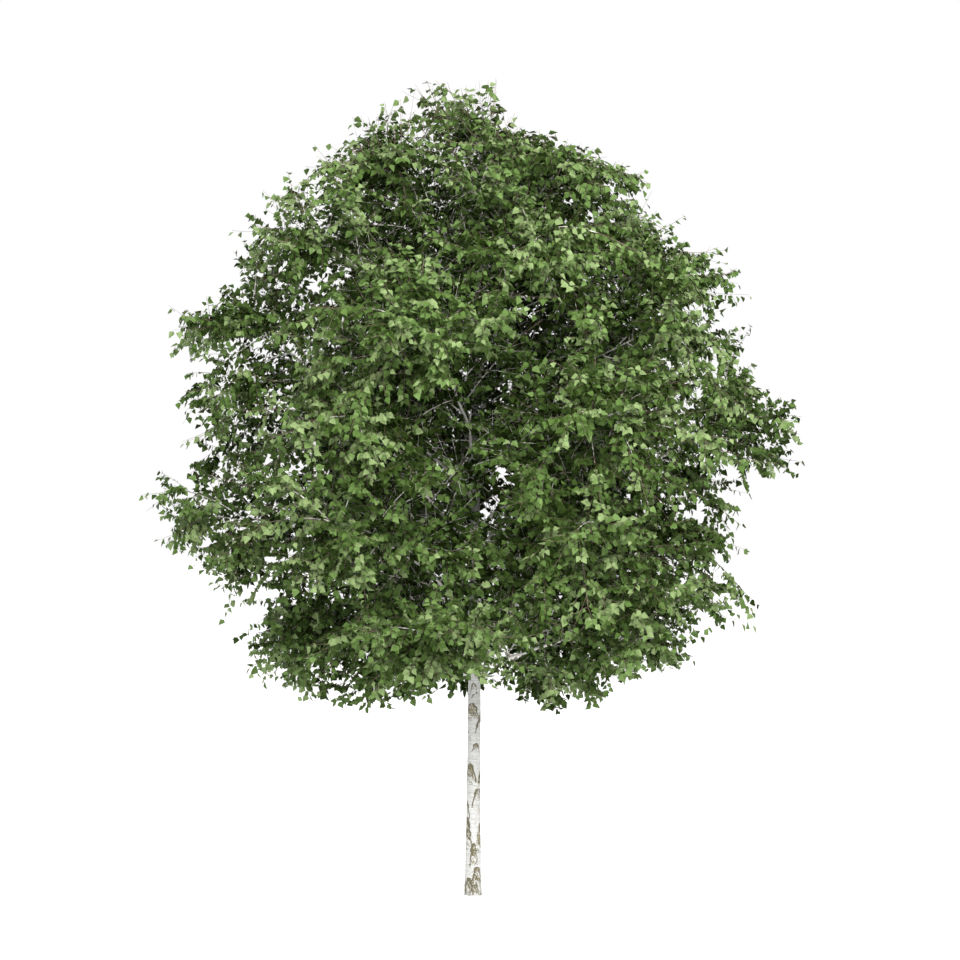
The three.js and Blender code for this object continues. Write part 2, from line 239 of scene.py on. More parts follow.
def grow_leader(seed):
    """The leading shoot, which goes on from the trunk's tip."""
    foot = trunk_point(TRUNK["height"])
    tip = np.array([foot[0] + LEADER["lean"], foot[1], CROWN["top"] - LEADER["tip_room"]])
    line = np.stack([foot, np.array([foot[0], foot[1], (foot[2] + tip[2]) / 2]), tip])
    return limb_facts("leader", "crest", seed, line, TRUNK["tip_radius"], LEADER["centre_share"])


limbs = []
for tier in TIERS:
    for index in range(tier["limbs"]):
        limbs.append(grow_limb(tier, index, len(limbs) + 1))
limbs.append(grow_leader(len(limbs) + 1))
centres = np.array([limb["centre"] for limb in limbs])
spans = [np.linalg.norm(limb["line"][2] - limb["line"][0]) for limb in limbs]
print(len(limbs), "limbs, of which the longest spans", round(max(spans), 2), "m")

# %% [markdown]
# ## The stem inside each mass
#
# Beyond its first third a bough is hidden by its own leaves. In the CAD part that outer length
# belongs to the foliage, and is called the stem. A quadratic curve can be cut in two exactly, so
# the stem is cut off the limb's line here in the same way.

# %% Stems


def cut_line(line, share):
    """The two lines that a line falls into when it is cut at a share."""
    first = line[0] + (line[1] - line[0]) * share
    second = line[1] + (line[2] - line[1]) * share
    cut = first + (second - first) * share
    return np.stack([line[0], first, cut]), np.stack([cut, second, line[2]])


halves = [cut_line(limb["line"], LIMB["bough_share"]) for limb in limbs[:-1]]
boughs = np.array([bough for bough, _ in halves])
stems = np.array([stem for _, stem in halves] + [limbs[-1]["line"]])
print("stems are", np.linalg.norm(stems[:, 2] - stems[:, 0], axis=1).round(2), "m long")

# %% [markdown]
# ## Room for each mass
#
# Every mass keeps to the part of the crown that is nearer to its own middle than to any other's.
# That is a Voronoi cell, and with it the masses share out the crown without growing through each
# other. In the CAD part the cells stand a little apart. Here the finer shoots may stray a hand's
# breadth over the border, as on a real tree, so that no seam shows between two masses.
#
# No crown is quite round, so four small formulas take room away from this one: a hollow round the
# trunk, a notch under the front, a slope on one side of the top and a dent low on the +X side.

# %% Is a place inside its mass?
STRAY = 0.110  # how far fine shoots and leaves may cross into the next mass
PROUD = 0.025  # how far the dressed crown may stand out of the CAD part, as a share of its size
WOOD_SPACING = 0.030
BOUGH_PLACES = 30  # places on each bough, and on each new line, that are tested against each other
LINE_PLACES = 13
TWIG_CLEARANCE = 0.011  # a twig's foot radius and 5 mm
FRONT = -math.pi / 2
HOLLOW = {"height": 0.300, "radius": 0.700}
NOTCH = {"height": 0.320, "half_angle": 0.27}
SLOPE = {"across": 0.170, "height": 5.714, "fall": 2.0, "stand": 0.110}
DENT = {"turn": 0.0, "half_turn": 0.55, "height": 2.430, "half_height": 0.260, "depth": 0.260}

cad_low, cad_high = np.array(cad_box)
room_low = cad_low - PROUD * (cad_high - cad_low)
room_high = cad_high + PROUD * (cad_high - cad_low)


def in_reach(places, slack):
    """True for places inside the crown's outline, or past it by less than the slack."""
    turn = np.arctan2(places[..., 1], places[..., 0])
    reach = crown_reach(places[..., 2], turn) + slack
    within = (np.hypot(places[..., 0], places[..., 1]) < reach) & (places[..., 2] < CROWN["top"] + slack)
    return within & (places > room_low).all(-1) & (places < room_high).all(-1)


def in_shape(places, slack):
    """True for places out of the hollow, the notch, the slope and the dent."""
    x, y, z = np.moveaxis(places, -1, 0)
    turn = np.arctan2(y, x)
    across = np.hypot(x, y)
    off_turn = (turn - DENT["turn"]) / DENT["half_turn"]
    off_height = (z - DENT["height"]) / DENT["half_height"]
    dent = DENT["depth"] * np.exp(-(off_turn**2) - off_height**2)
    off_front = (turn - FRONT) / NOTCH["half_angle"]
    hollow = HOLLOW["height"] * np.clip(1 - across / HOLLOW["radius"], 0, 1)
    rise = np.maximum(hollow, NOTCH["height"] * np.exp(-(off_front**2)))
    slope = SLOPE["across"] - SLOPE["fall"] * (z - SLOPE["height"])
    undented = across < crown_reach(z, turn) + slack - dent
    unsloped = x < np.maximum(slope, SLOPE["stand"]) + slack
    return undented & unsloped & (z > CROWN["floor"] + rise)


def in_cell(places, owner, margin):
    """True for places that are past every plane between their mass and another by the margin."""
    squares = ((places[:, None] - centres) ** 2).sum(-1)
    own = squares[np.arange(len(places)), owner]
    apart = np.linalg.norm(centres[owner][:, None] - centres, axis=-1)
    apart[np.arange(len(places)), owner] = np.inf
    past = (squares - own[:, None]) / (2 * apart)
    past[np.arange(len(places)), owner] = np.inf
    return (past > margin).all(axis=1)


trunk_heights = np.arange(0, TRUNK["height"], WOOD_SPACING)
bough_shares = np.linspace(0, 1, BOUGH_PLACES)
wood_places = [trunk_point(trunk_heights)]
wood_radii = [trunk_radius(trunk_heights)]
for limb, bough in zip(limbs, boughs):
    wood_places.append(point_on(bough, bough_shares))
    wood_radii.append(limb["radius"] * (1 - bough_shares * (1 - LIMB["entry_share"])))
wood_places = np.concatenate(wood_places)
wood_radii = np.concatenate(wood_radii)


def clear_of_wood(line, extra):
    """True for a line that passes the trunk and the boughs."""
    places = point_on(line, np.linspace(0, 1, LINE_PLACES))
    gaps = np.linalg.norm(places[:, None] - wood_places, axis=-1) - wood_radii
    return gaps.min() > extra


print("the crown is kept clear of", len(wood_places), "places in the wood")

# %% [markdown]
# ## Twigs, by one rule at every size
#
# Real branching repeats itself: what a twig does on its stem, a shoot does on its twig. One rule
# therefore serves all of them. The next shoot always leaves its parent a golden angle further
# round, leans out by about the same angle, and is shorter the nearer to the parent's tip it stands.
# A shoot that would leave its space is shortened, and if that isn't enough it doesn't grow.
#
# The five twigs with the seed's own numbers are the ones in the CAD part. Then come more twigs
# between them, and side shoots on every twig, which carry the leaves. Each kind takes over its
# numbers from the one before, apart from those that it names. Angles are in degrees. Lift, droop
# and the spreads are shares of a line's length, and room is what its end keeps free, in metres.

# %% The branching rule
SOURCE_TWIG = {
    "count": 5,
    "first": 0.08,
    "last": 0.82,
    "length": 0.660,
    "shorten": 0.45,
    "length_spread": 0.12,
    "lean": 54,
    "lean_spread": 8,
    "lift": 0.16,
    "droop": 0.0,
    "room": 0.387,
    "passes_wood": True,
    "shaped": False,
}
MORE_TWIGS = dict(
    SOURCE_TWIG, count=16, first=0.02, last=0.98, length=1.200, shorten=0.48, length_spread=0.20,
    lean_spread=18, lift=0.14, droop=0.04, room=0.120, shaped=True)
INNER_TWIG = dict(
    MORE_TWIGS, count=7, first=0.30, last=1.0, length=1.050, shorten=0.10, length_spread=0.25,
    lean=62, lean_spread=14, lift=0.12, droop=0.02, room=0.060, passes_wood=False)
SIDE_SHOOT = dict(
    INNER_TWIG, count=14, first=0.10, last=0.98, length=0.340, shorten=0.40, length_spread=0.28,
    lean=48, lean_spread=18, lift=0.06, room=0.035)
LEADING_SHOOT = dict(
    SIDE_SHOOT, count=2, first=0.88, length=0.380, shorten=0.0, length_spread=0.50,
    lean=18, lean_spread=14, lift=-0.04, droop=-0.10, room=0.020)
CREST_SHOOT = dict(
    LEADING_SHOOT, count=4, first=0.66, length=0.300, length_spread=0.45, lean=20, lift=-0.10, droop=-0.50)
TRUNK_TWIG = {
    "count": 64, "low": 1.700, "high": 5.100, "length": 1.500, "shorten": 0.62, "rise": 0.55, "lift": 0.08,
}
INNER_STRAY = 0.400  # near the trunk the masses mingle
TRIES = (1.0, 0.8, 0.6, 0.4)


def side_lines(parents, owner, rule, numbers, slack, margin):
    """Lines that grow from the parents by a rule, with the row of each one's parent.

    numbers holds a first turn from 0 to 1, and then a swing for the lean and one for the length of
    each shoot. slack says how far past the crown's outline each may reach.
    """
    count = rule["count"]
    slack = np.broadcast_to(slack, (len(parents), count)).reshape(-1)
    share = np.broadcast_to(np.linspace(rule["first"], rule["last"], count), (len(parents), count))
    along, side, over = frames_on(parents[:, None], share)
    turn = 2 * np.pi * numbers[:, :1] + GOLDEN_ANGLE * np.arange(1, count + 1)
    around = side * np.cos(turn)[..., None] + over * np.sin(turn)[..., None]
    lean = np.radians(rule["lean"] + rule["lean_spread"] * numbers[:, 1::2])[..., None]
    heading = (along * np.cos(lean) + around * np.sin(lean)).reshape(-1, 3)
    size = rule["length"] * (1 - rule["shorten"] * share) * (1 + rule["length_spread"] * numbers[:, 2::2])
    foot = point_on(parents[:, None], share).reshape(-1, 3)
    parent = np.repeat(np.arange(len(parents)), count)
    grown = np.zeros((len(foot), 3, 3))
    waiting = np.ones(len(foot), bool)
    for trial in TRIES:
        lines = arched(foot, heading, size.reshape(-1) * trial, rule["lift"], rule["droop"])
        beyond = lines[:, 2] + unit(lines[:, 2] - lines[:, 1]) * rule["room"]
        fits = waiting & in_reach(beyond, slack) & in_cell(beyond, owner[parent], margin)
        if rule["shaped"]:
            fits &= in_shape(beyond, slack)
        if rule["passes_wood"]:
            fits[fits] = [clear_of_wood(line, TWIG_CLEARANCE) for line in lines[fits]]
        grown[fits] = lines[fits]
        waiting &= ~fits
    return grown[~waiting], parent[~waiting], slack[~waiting]


def source_numbers(seed, count):
    """The seed's own numbers, in the order in which the CAD part draws them."""
    random = seeded_random(seed)
    return [next(random)] + [2 * next(random) - 1 for _ in range(2 * count)]


def more_numbers(draw, rows, count):
    """As many numbers of the same kinds for finer growth."""
    return np.hstack([draw.random((rows, 1)), draw.uniform(-1, 1, (rows, 2 * count))])


draw = np.random.default_rng(7)
stem_owner = np.arange(len(limbs))
numbers = np.array([source_numbers(limb["seed"], SOURCE_TWIG["count"]) for limb in limbs])
twig_sets = [side_lines(stems, stem_owner, SOURCE_TWIG, numbers, CROWN["slack"], MASS["margin"])[:2]]
for rule, parents, margin in ((MORE_TWIGS, stems, -STRAY / 2), (INNER_TWIG, boughs, -INNER_STRAY)):
    numbers = more_numbers(draw, len(parents), rule["count"])
    owner = np.arange(len(parents))
    twig_sets.append(side_lines(parents, owner, rule, numbers, CROWN["slack"], margin)[:2])
print([len(grown) for grown, _ in twig_sets], "twigs in the CAD part, between them and on the boughs")


def trunk_twigs(rule):
    """Thin twigs that spiral up the trunk, and the mass that each one's tip is nearest to."""
    share = np.linspace(0, 1, rule["count"])
    foot = trunk_point(rule["low"] + (rule["high"] - rule["low"]) * share)
    turn = GOLDEN_ANGLE * np.arange(rule["count"])
    heading = unit(np.stack([np.cos(turn), np.sin(turn), np.full(len(turn), rule["rise"])], -1))
    length = rule["length"] * (1 - rule["shorten"] * share)
    lines = arched(foot, heading, length, rule["lift"])
    squares = ((lines[:, 2][:, None] - centres) ** 2).sum(-1)
    return lines, squares.argmin(axis=1)


twig_sets.append(trunk_twigs(TRUNK_TWIG))
twigs, twig_owner = [np.concatenate(arrays) for arrays in zip(*twig_sets)]
print(len(twigs), "twigs in all")

# %% [markdown]
# ## Side shoots
#
# The twigs, and the outer ends of the stems themselves, now get their side shoots by the same rule.
# Each twig with its shoots is one spray. The spray's number is kept, because it has a say in the
# leaves' colour later on. Every twig also goes on beyond its tip in two leading shoots. Some of
# those stand out of the crown further than all else, and give it its ragged edge. At the top of the
# tree young shoots rise steeply with few leaves, and the sky shows between them.

# %% Grow the side shoots
SPRAY_RAGGED = 0.080  # how unevenly far the sprays stand out of the crown
SPRAY_SWING = (-1.2, 1.0)  # more of them stand back than out
SHOOT_RAGGED = 0.070  # the same for the shoots of a spray
LEADING_SLACK = 0.200  # how much further a leading shoot may stand out
CREST_FROM = 5.050  # above this, twigs also carry shoots that rise steeply
AIRY_TOP = {"height": (4.900, 5.700), "drop": (0, 0.170)}  # where only leading shoots stand out

bearers = np.concatenate([twigs, stems])
bearer_owner = np.concatenate([twig_owner, stem_owner])
numbers = more_numbers(draw, len(bearers), SIDE_SHOOT["count"])
spray_slack = CROWN["slack"] + SPRAY_RAGGED * draw.uniform(*SPRAY_SWING, len(bearers))
spray_slack -= np.interp(bearers[:, 2, 2], AIRY_TOP["height"], AIRY_TOP["drop"])
uneven = SHOOT_RAGGED * draw.uniform(-1, 1, (len(bearers), SIDE_SHOOT["count"]))
shoot_sets = [side_lines(
    bearers, bearer_owner, SIDE_SHOOT, numbers, spray_slack[:, None] + uneven, -STRAY)]
every = np.arange(len(bearers))
crest = np.flatnonzero(bearers[:, 2, 2] > CREST_FROM)
for rule, carriers, power in ((LEADING_SHOOT, every, 2), (CREST_SHOOT, crest, 1)):
    numbers = more_numbers(draw, len(carriers), rule["count"])
    far = LEADING_SLACK * draw.uniform(0, 1, (len(carriers), rule["count"])) ** power
    grown, row, grown_slack = side_lines(
        bearers[carriers], bearer_owner[carriers], rule, numbers, CROWN["slack"] + far, -STRAY)
    shoot_sets.append((grown, carriers[row], grown_slack))
shoots, shoot_spray, shoot_slack = [np.concatenate(arrays) for arrays in zip(*shoot_sets)]
shoot_owner = bearer_owner[shoot_spray]
shoot_counts = [len(grown) for grown, _, _ in shoot_sets]
print(shoot_counts, "side, leading and rising shoots on", len(bearers), "twigs and stems")

# %% [markdown]
# ## Meshes from arrays
#
# Blender can fill a mesh straight from arrays, which takes a second where adding faces one by one
# would take minutes. A tube is a stack of rings round a line. Many tubes of the same number of sides
# and steps are made in one go, and then joined by adding up their vertex numbers.

# %% Tubes, joined parts and mesh objects


def tubes(lines, foot_radius, tip_radius, sides, steps):
    """Tapering closed tubes along lines, as vertices and triangles."""
    share = np.broadcast_to(np.linspace(0, 1, steps + 1), (len(lines), steps + 1))
    middle = point_on(lines[:, None], share)
    _, side, over = frames_on(lines[:, None], share)
    radius = (foot_radius + (tip_radius - foot_radius) * share)[..., None, None]
    turn = 2 * np.pi * np.arange(sides)[:, None] / sides
    ring = side[:, :, None] * np.cos(turn) + over[:, :, None] * np.sin(turn)
    vertices = (middle[:, :, None] + ring * radius).reshape(-1, 3)
    return vertices, ring_triangles(len(lines), steps + 1, sides)


def ring_triangles(count, rings, sides):
    """Triangles between the rings of tubes, and over both ends."""
    number = np.arange(count * rings * sides).reshape(count, rings, sides)
    low, high = number[:, :-1], number[:, 1:]
    low_next, high_next = np.roll(low, -1, axis=2), np.roll(high, -1, axis=2)
    corners = (low, high, high_next), (low, high_next, low_next)
    walls = [np.stack(three, -1).reshape(-1, 3) for three in corners]
    ends = []
    for i in range(1, sides - 1):
        ends.append(np.stack([number[:, 0, 0], number[:, 0, i], number[:, 0, i + 1]], -1))
        ends.append(np.stack([number[:, -1, 0], number[:, -1, i + 1], number[:, -1, i]], -1))
    return np.concatenate(walls + ends)


def joined(parts):
    """Parts as one: each is vertices and triangles."""
    starts = np.cumsum([0] + [len(vertices) for vertices, _ in parts[:-1]])
    triangles = [triangles + start for (_, triangles), start in zip(parts, starts)]
    return np.concatenate([vertices for vertices, _ in parts]), np.concatenate(triangles)


def mesh_piece(name, vertices, triangles, materials, numbers=0):
    """A mesh object made from arrays, with smooth faces."""
    mesh = bpy.data.meshes.new(name)
    mesh.vertices.add(len(vertices))
    mesh.vertices.foreach_set("co", np.asarray(vertices, np.float32).ravel())
    mesh.loops.add(3 * len(triangles))
    mesh.loops.foreach_set("vertex_index", np.asarray(triangles, np.int32).ravel())
    mesh.polygons.add(len(triangles))
    mesh.polygons.foreach_set("loop_start", np.arange(0, 3 * len(triangles), 3, dtype=np.int32))
    for material in materials:
        mesh.materials.append(material)
    numbers = np.broadcast_to(numbers, len(triangles)).astype(np.int32)
    mesh.polygons.foreach_set("material_index", numbers)
    mesh.polygons.foreach_set("use_smooth", np.ones(len(triangles), bool))
    mesh.update(calc_edges=True)
    piece = bpy.data.objects.new(name, mesh)
    bpy.context.scene.collection.objects.link(piece)
    print(f"{name}: {len(triangles)} triangles")
    return piece


def vertex_values(piece, name, values):
    """Keeps one number for each vertex, for a material to read."""
    attribute = piece.data.attributes.new(name, "FLOAT", "POINT")
    attribute.data.foreach_set("value", np.asarray(values, np.float32))


# %% [markdown]
# ## Colours and nodes
#
# Colours are written as sRGB hex values, which is how a paint chart gives them. Shaders work in
# linear light, so one function turns the one into the other. A second small function adds a node.
# A third fills its sockets, and those of the shader at the end: a number or colour is set on the
# socket itself, and another node's output is linked to it.

# %% Colour and node helpers
MIX_A, MIX_B, MIX_RESULT = 6, 7, 2  # the colour sockets of a Mix node


def linear(hex_colour):
    """An sRGB hex colour as linear RGBA."""
    channels = [int(hex_colour[i : i + 2], 16) / 255 for i in (1, 3, 5)]
    return tuple(c / 12.92 if c <= 0.04045 else ((c + 0.055) / 1.055) ** 2.4 for c in channels) + (1.0,)


def fill_sockets(material, node, inputs):
    """Sets the sockets of a node to values, or links other nodes' outputs to them."""
    for socket, value in inputs.items():
        if isinstance(value, bpy.types.NodeSocket):
            material.node_tree.links.new(value, node.inputs[socket])
        else:
            node.inputs[socket].default_value = value


def add_node(material, kind, inputs, **settings):
    """A new node with its settings, its socket values and its links."""
    made = material.node_tree.nodes.new(kind)
    for name, value in settings.items():
        setattr(made, name, value)
    fill_sockets(material, made, inputs)
    return made


def new_material(name):
    """A material, and the place on the object that its patterns start from."""
    material = bpy.data.materials.new(name)
    material.use_nodes = True
    return material, add_node(material, "ShaderNodeTexCoord", {}).outputs["Object"]


def finished(material, inputs):
    """The material, with the sockets of its Principled shader filled."""
    fill_sockets(material, material.node_tree.nodes["Principled BSDF"], inputs)
    return material


def pattern(material, place, across, tall, detail=2.0):
    """Noise with spots of a real size in metres: across them level, and tall up the tree."""
    scale = (1 / across, 1 / across, 1 / tall)
    sized = add_node(material, "ShaderNodeMapping", {"Vector": place, "Scale": scale}).outputs[0]
    inputs = {"Vector": sized, "Scale": 1.0, "Detail": detail}
    return add_node(material, "ShaderNodeTexNoise", inputs).outputs[0]


def blended(material, value, span, below, above):
    """A colour that goes softly from one to another as a value crosses a span."""
    inputs = {"Value": value, "From Min": span[0], "From Max": span[1]}
    share = add_node(material, "ShaderNodeMapRange", inputs, interpolation_type="SMOOTHSTEP").outputs[0]
    inputs = {0: share, MIX_A: below, MIX_B: above}
    return add_node(material, "ShaderNodeMix", inputs, data_type="RGBA").outputs[MIX_RESULT]


def broken(material, name, noise):
    """A number kept on the vertices, with noise added so that its border breaks up."""
    kept = add_node(material, "ShaderNodeAttribute", {}, attribute_name=name).outputs["Fac"]
    return add_node(material, "ShaderNodeMath", {0: kept, 1: noise}, operation="ADD").outputs[0]


# %% [markdown]
# ## Scars in the bark
#
# What makes birch bark look like birch is less the white than what breaks it: where a branch has
# been shed, an upside-down V of dark cork runs down from the scar, often with a rough tan patch
# between its legs. They are listed by height and by how far they stand to the left or right of the
# trunk's middle, seen from the front. Each one is met again at two other turns round the trunk,
# and over the foot of every bough.

# %% List the scars
# Height of the apex, place across, half width, fall, and how strong the left leg, the right leg and
# the patch are.
FRONT_SCARS = [
    (1.560, -0.004, 0.024, 0.080, 0.8, 0.7, 0.3),
    (1.480, 0.000, 0.020, 0.040, 0.7, 0.4, 0.3),
    (1.410, -0.018, 0.056, 0.120, 0.8, 1.0, 1.0),
    (1.290, 0.044, 0.050, 0.100, 1.0, 0.0, 0.3),
    (1.117, 0.015, 0.026, 0.062, 0.9, 0.9, 0.6),
    (0.969, -0.034, 0.058, 0.135, 0.4, 1.0, 1.0),
    (0.784, 0.034, 0.046, 0.130, 1.0, 1.0, 0.4),
    (0.579, -0.046, 0.046, 0.220, 0.4, 1.0, 1.0),
    (0.388, 0.004, 0.030, 0.170, 1.0, 0.8, 0.9),
    (0.215, 0.030, 0.044, 0.150, 1.0, 0.8, 1.0),
    (0.135, -0.034, 0.036, 0.120, 1.0, 1.0, 0.8),
    (0.085, 0.012, 0.040, 0.085, 1.0, 0.9, 0.7),
]
REPEAT_TURNS = (0.0, 2.2, 4.1)  # radians
REPEAT_DROP = (0.0, 0.045, 0.085)  # so that repeats don't stand level
LOWEST_SCAR = 0.060
BOUGH_SCAR = {"half_width": 2.2, "rise": 2.5, "fall": 3.2, "strength": (0.9, 0.9, 0.4)}


def list_scars():
    """Every scar, with its place across turned into an angle round the trunk."""
    scars = []
    for height, across, *shape in FRONT_SCARS:
        turn = FRONT + math.asin(across / float(trunk_radius(height)))
        for repeat, drop in zip(REPEAT_TURNS, REPEAT_DROP):
            scars.append((max(height - drop, LOWEST_SCAR), turn + repeat, *shape))
    for limb, bough in zip(limbs, boughs):
        heading = bough[2] - bough[0]
        turn = math.atan2(heading[1], heading[0])
        wide = BOUGH_SCAR["half_width"] * limb["radius"]
        apex = bough[0][2] + BOUGH_SCAR["rise"] * wide
        scars.append((apex, turn, wide, BOUGH_SCAR["fall"] * wide, *BOUGH_SCAR["strength"]))
    return scars


scars = list_scars()
print(len(scars), "scars on the trunk")

# %% [markdown]
# ## The trunk
#
# The bark's relief is in the mesh itself: a fine grid is wrapped round the trunk's line, and each
# vertex is pushed in or out. Cork cracks sink by two millimetres, the patches between them are
# rough, the paper bark has faint level ridges, and the foot spreads in four soft lobes. The same
# numbers are kept on the vertices, so the colours fall exactly where the relief is.

# %% Relief of the bark
TRUNK_SIDES = 56
FINE_ROW = 0.004
COARSE_ROW = 0.014
BARE_HEIGHT = 1.8  # below this no leaves hide the trunk
# A leg is wider at the apex and fades over the last part of its overrun, all as shares.
CRACK = {"width": 0.0080, "depth": 0.0022, "waver": 0.0035, "fray": 0.0015}
LEG = {"apex": 1.5, "overrun": 1.3, "fade": 0.3}
PATCH = {"relief": 0.0016, "edge": 0.012, "fray": 0.35, "fade": 0.5}
STREAKS = {"fill": 0.85, "swing": 0.45, "twist": 6}  # twist in radians for each metre of height


def ripples(turn, height, rounds, pitch, seed, count=6):
    """Smooth unevenness from -1 to 1 that closes on itself round the trunk."""
    chooser = np.random.default_rng(seed)
    total = np.zeros(np.broadcast(turn, height).shape)
    for _ in range(count):
        times = chooser.integers(1, rounds + 1)
        rise = chooser.uniform(0.5, 1.5) * 2 * np.pi / pitch
        way = chooser.choice([-1, 1])
        total += np.sin(times * turn + rise * height * way + chooser.uniform(0, 2 * np.pi))
    return total / count**0.5


def scar_marks(turn, height):
    """How much each vertex is crack and how much it is patch."""
    crack = np.zeros_like(height)
    patch = np.zeros_like(height)
    ragged = CRACK["waver"] * ripples(turn, height, rounds=9, pitch=0.050, seed=11)
    ragged += CRACK["fray"] * ripples(turn, height, rounds=24, pitch=0.016, seed=12)
    for apex, middle, half_width, fall, left, right, fill in scars:
        down = apex - height
        near = (down > 0) & (down < LEG["overrun"] * fall)
        if not near.any():
            continue
        angle = (turn[near] - middle + np.pi) % (2 * np.pi) - np.pi
        across = angle * trunk_radius(height[near]) + ragged[near]
        below = down[near] / fall
        spread = half_width * np.sqrt(np.clip(below, 0, 1))
        off = np.abs(np.abs(across) - spread)
        fade = np.clip((LEG["overrun"] - below) / LEG["fade"], 0, 1)
        width = CRACK["width"] * (LEG["apex"] - below)
        leg = np.exp(-((off / width) ** 2)) * (np.where(across < 0, left, right) * fade)
        crack[near] = np.maximum(crack[near], leg)
        fray = PATCH["fray"] * ripples(turn[near], height[near], rounds=30, pitch=0.040, seed=13)
        twisted = turn[near] + STREAKS["twist"] * height[near]
        swing = STREAKS["swing"] * ripples(twisted, height[near], rounds=20, pitch=0.150, seed=14)
        inside = np.clip((spread - np.abs(across)) / PATCH["edge"], 0, 1)
        inside = inside * np.clip((1 - (below + fray)) / PATCH["fade"], 0, 1)
        patch[near] = np.maximum(patch[near], inside * np.clip(STREAKS["fill"] + swing, 0, 1) * fill)
    return crack, patch


rows = np.concatenate([
    np.arange(0, BARE_HEIGHT, FINE_ROW),
    np.arange(BARE_HEIGHT, TRUNK["height"], COARSE_ROW),
    [TRUNK["height"]],
])
turns = 2 * np.pi * np.arange(TRUNK_SIDES) / TRUNK_SIDES
height_grid, turn_grid = np.meshgrid(rows, turns, indexing="ij")
crack_marks, patch_marks = scar_marks(turn_grid, height_grid)
print("cracks cover", round(100 * float((crack_marks > 0.5).mean()), 1), "% of the trunk and patches",
      round(100 * float((patch_marks > 0.5).mean()), 1), "%")

# %% Build the trunk
LUMPS = 0.0016
PAPER_RIDGES = 0.0004
FOOT = {"lobes": 4, "swell": 0.07, "fade": 0.10, "turn": 0.7}


def trunk_mesh():
    """Vertices of the trunk with its relief. The cut at the ground stays flat."""
    radius = trunk_radius(height_grid)
    girth = radius / TRUNK["butt_radius"]
    lumps = LUMPS * ripples(turn_grid, height_grid, rounds=3, pitch=0.60, seed=3) * girth
    paper = PAPER_RIDGES * ripples(turn_grid, height_grid, rounds=4, pitch=0.016, seed=5)
    rough = PATCH["relief"] * ripples(turn_grid, height_grid, rounds=26, pitch=0.012, seed=8) * patch_marks
    swell = FOOT["swell"] * radius * np.exp(-height_grid / FOOT["fade"])
    foot = swell * np.cos(FOOT["lobes"] * turn_grid + FOOT["turn"])
    cracks = CRACK["depth"] * crack_marks * np.minimum(1, girth)
    radius = radius + lumps + paper + rough + foot - cracks
    middle = trunk_point(height_grid)
    around = np.stack([np.cos(turn_grid), np.sin(turn_grid), np.zeros_like(turn_grid)], -1)
    return (middle + around * radius[..., None]).reshape(-1, 3)


trunk_triangles = ring_triangles(1, len(rows), TRUNK_SIDES)

# %% [markdown]
# ## White paper bark
#
# A birch trunk is wrapped in thin layers of white bark, which gets its colour from a powder
# (betulin) that scatters light as chalk does. So it is bright, slightly cool and quite rough, with
# faint level bands where layers end. Short level dashes in it are lenticels, the pores that the
# tree breathes through. Real ones are 1 to 2 mm tall, and here they are drawn 4 mm tall, because
# finer ones would vanish. The cork in the scars is a dark olive brown, and the patches are paler.

# %% Bark of the trunk
PATCH_SPAN = (0.70, 0.98)


def paper_bark():
    """White birch bark with lenticels, cork cracks and tan patches."""
    bark, place = new_material("silver birch paper bark")
    bands = pattern(bark, place, across=0.120, tall=0.009, detail=4)
    stains = pattern(bark, place, across=0.060, tall=0.110, detail=3)
    pores = pattern(bark, place, across=0.016, tall=0.0040, detail=0)
    grit = pattern(bark, place, across=0.0055, tall=0.0070, detail=4)
    tint = pattern(bark, place, across=0.016, tall=0.030, detail=2)

    colour = blended(bark, bands, (0.35, 0.65), linear("#9f9f9c"), linear("#b0b0ae"))
    colour = blended(bark, stains, (0.56, 0.78), colour, linear("#98948a"))
    colour = blended(bark, pores, (0.70, 0.76), colour, linear("#6a6356"))
    cork = blended(bark, tint, (0.40, 0.62), linear("#4f4a35"), linear("#7d7760"))
    cork = blended(bark, grit, (0.52, 0.66), cork, linear("#3f3a2a"))
    cork = blended(bark, bands, (0.60, 0.70), cork, linear("#a09d90"))

    patch = broken(bark, "patch", grit)
    colour = blended(bark, patch, PATCH_SPAN, colour, cork)
    colour = blended(bark, broken(bark, "crack", grit), (0.88, 1.14), colour, linear("#4f4934"))

    inputs = {"Value": patch, "From Min": PATCH_SPAN[0], "From Max": PATCH_SPAN[1]}
    inputs.update({"To Min": 0.62, "To Max": 0.92})
    rough = add_node(bark, "ShaderNodeMapRange", inputs, interpolation_type="SMOOTHSTEP").outputs[0]
    relief = add_node(bark, "ShaderNodeMath", {0: grit, 1: bands}, operation="ADD").outputs[0]
    inputs = {"Strength": 0.5, "Distance": 0.0009, "Height": relief}
    bump = add_node(bark, "ShaderNodeBump", inputs).outputs[0]
    return finished(bark, {"Base Color": colour, "Roughness": rough, "Normal": bump, "IOR": 1.48})


trunk = mesh_piece("trunk_bark", trunk_mesh(), trunk_triangles, [paper_bark()])
vertex_values(trunk, "crack", crack_marks.ravel())
vertex_values(trunk, "patch", patch_marks.ravel())
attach(trunk, "root")
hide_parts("trunk")

# %% [markdown]
# ## Boughs and stems
#
# A bough swells into a collar where it joins the trunk, wavers a little along its way and thins to
# a few millimetres at its tip. It is built in one length from the trunk's middle to its tip, so
# that nothing shows where the CAD part hands over from bough to foliage. The part beyond the bough
# belongs to the same mesh. Its bark is white near the trunk and turns red-brown where the wood is
# young, which a number on each vertex tells the material.

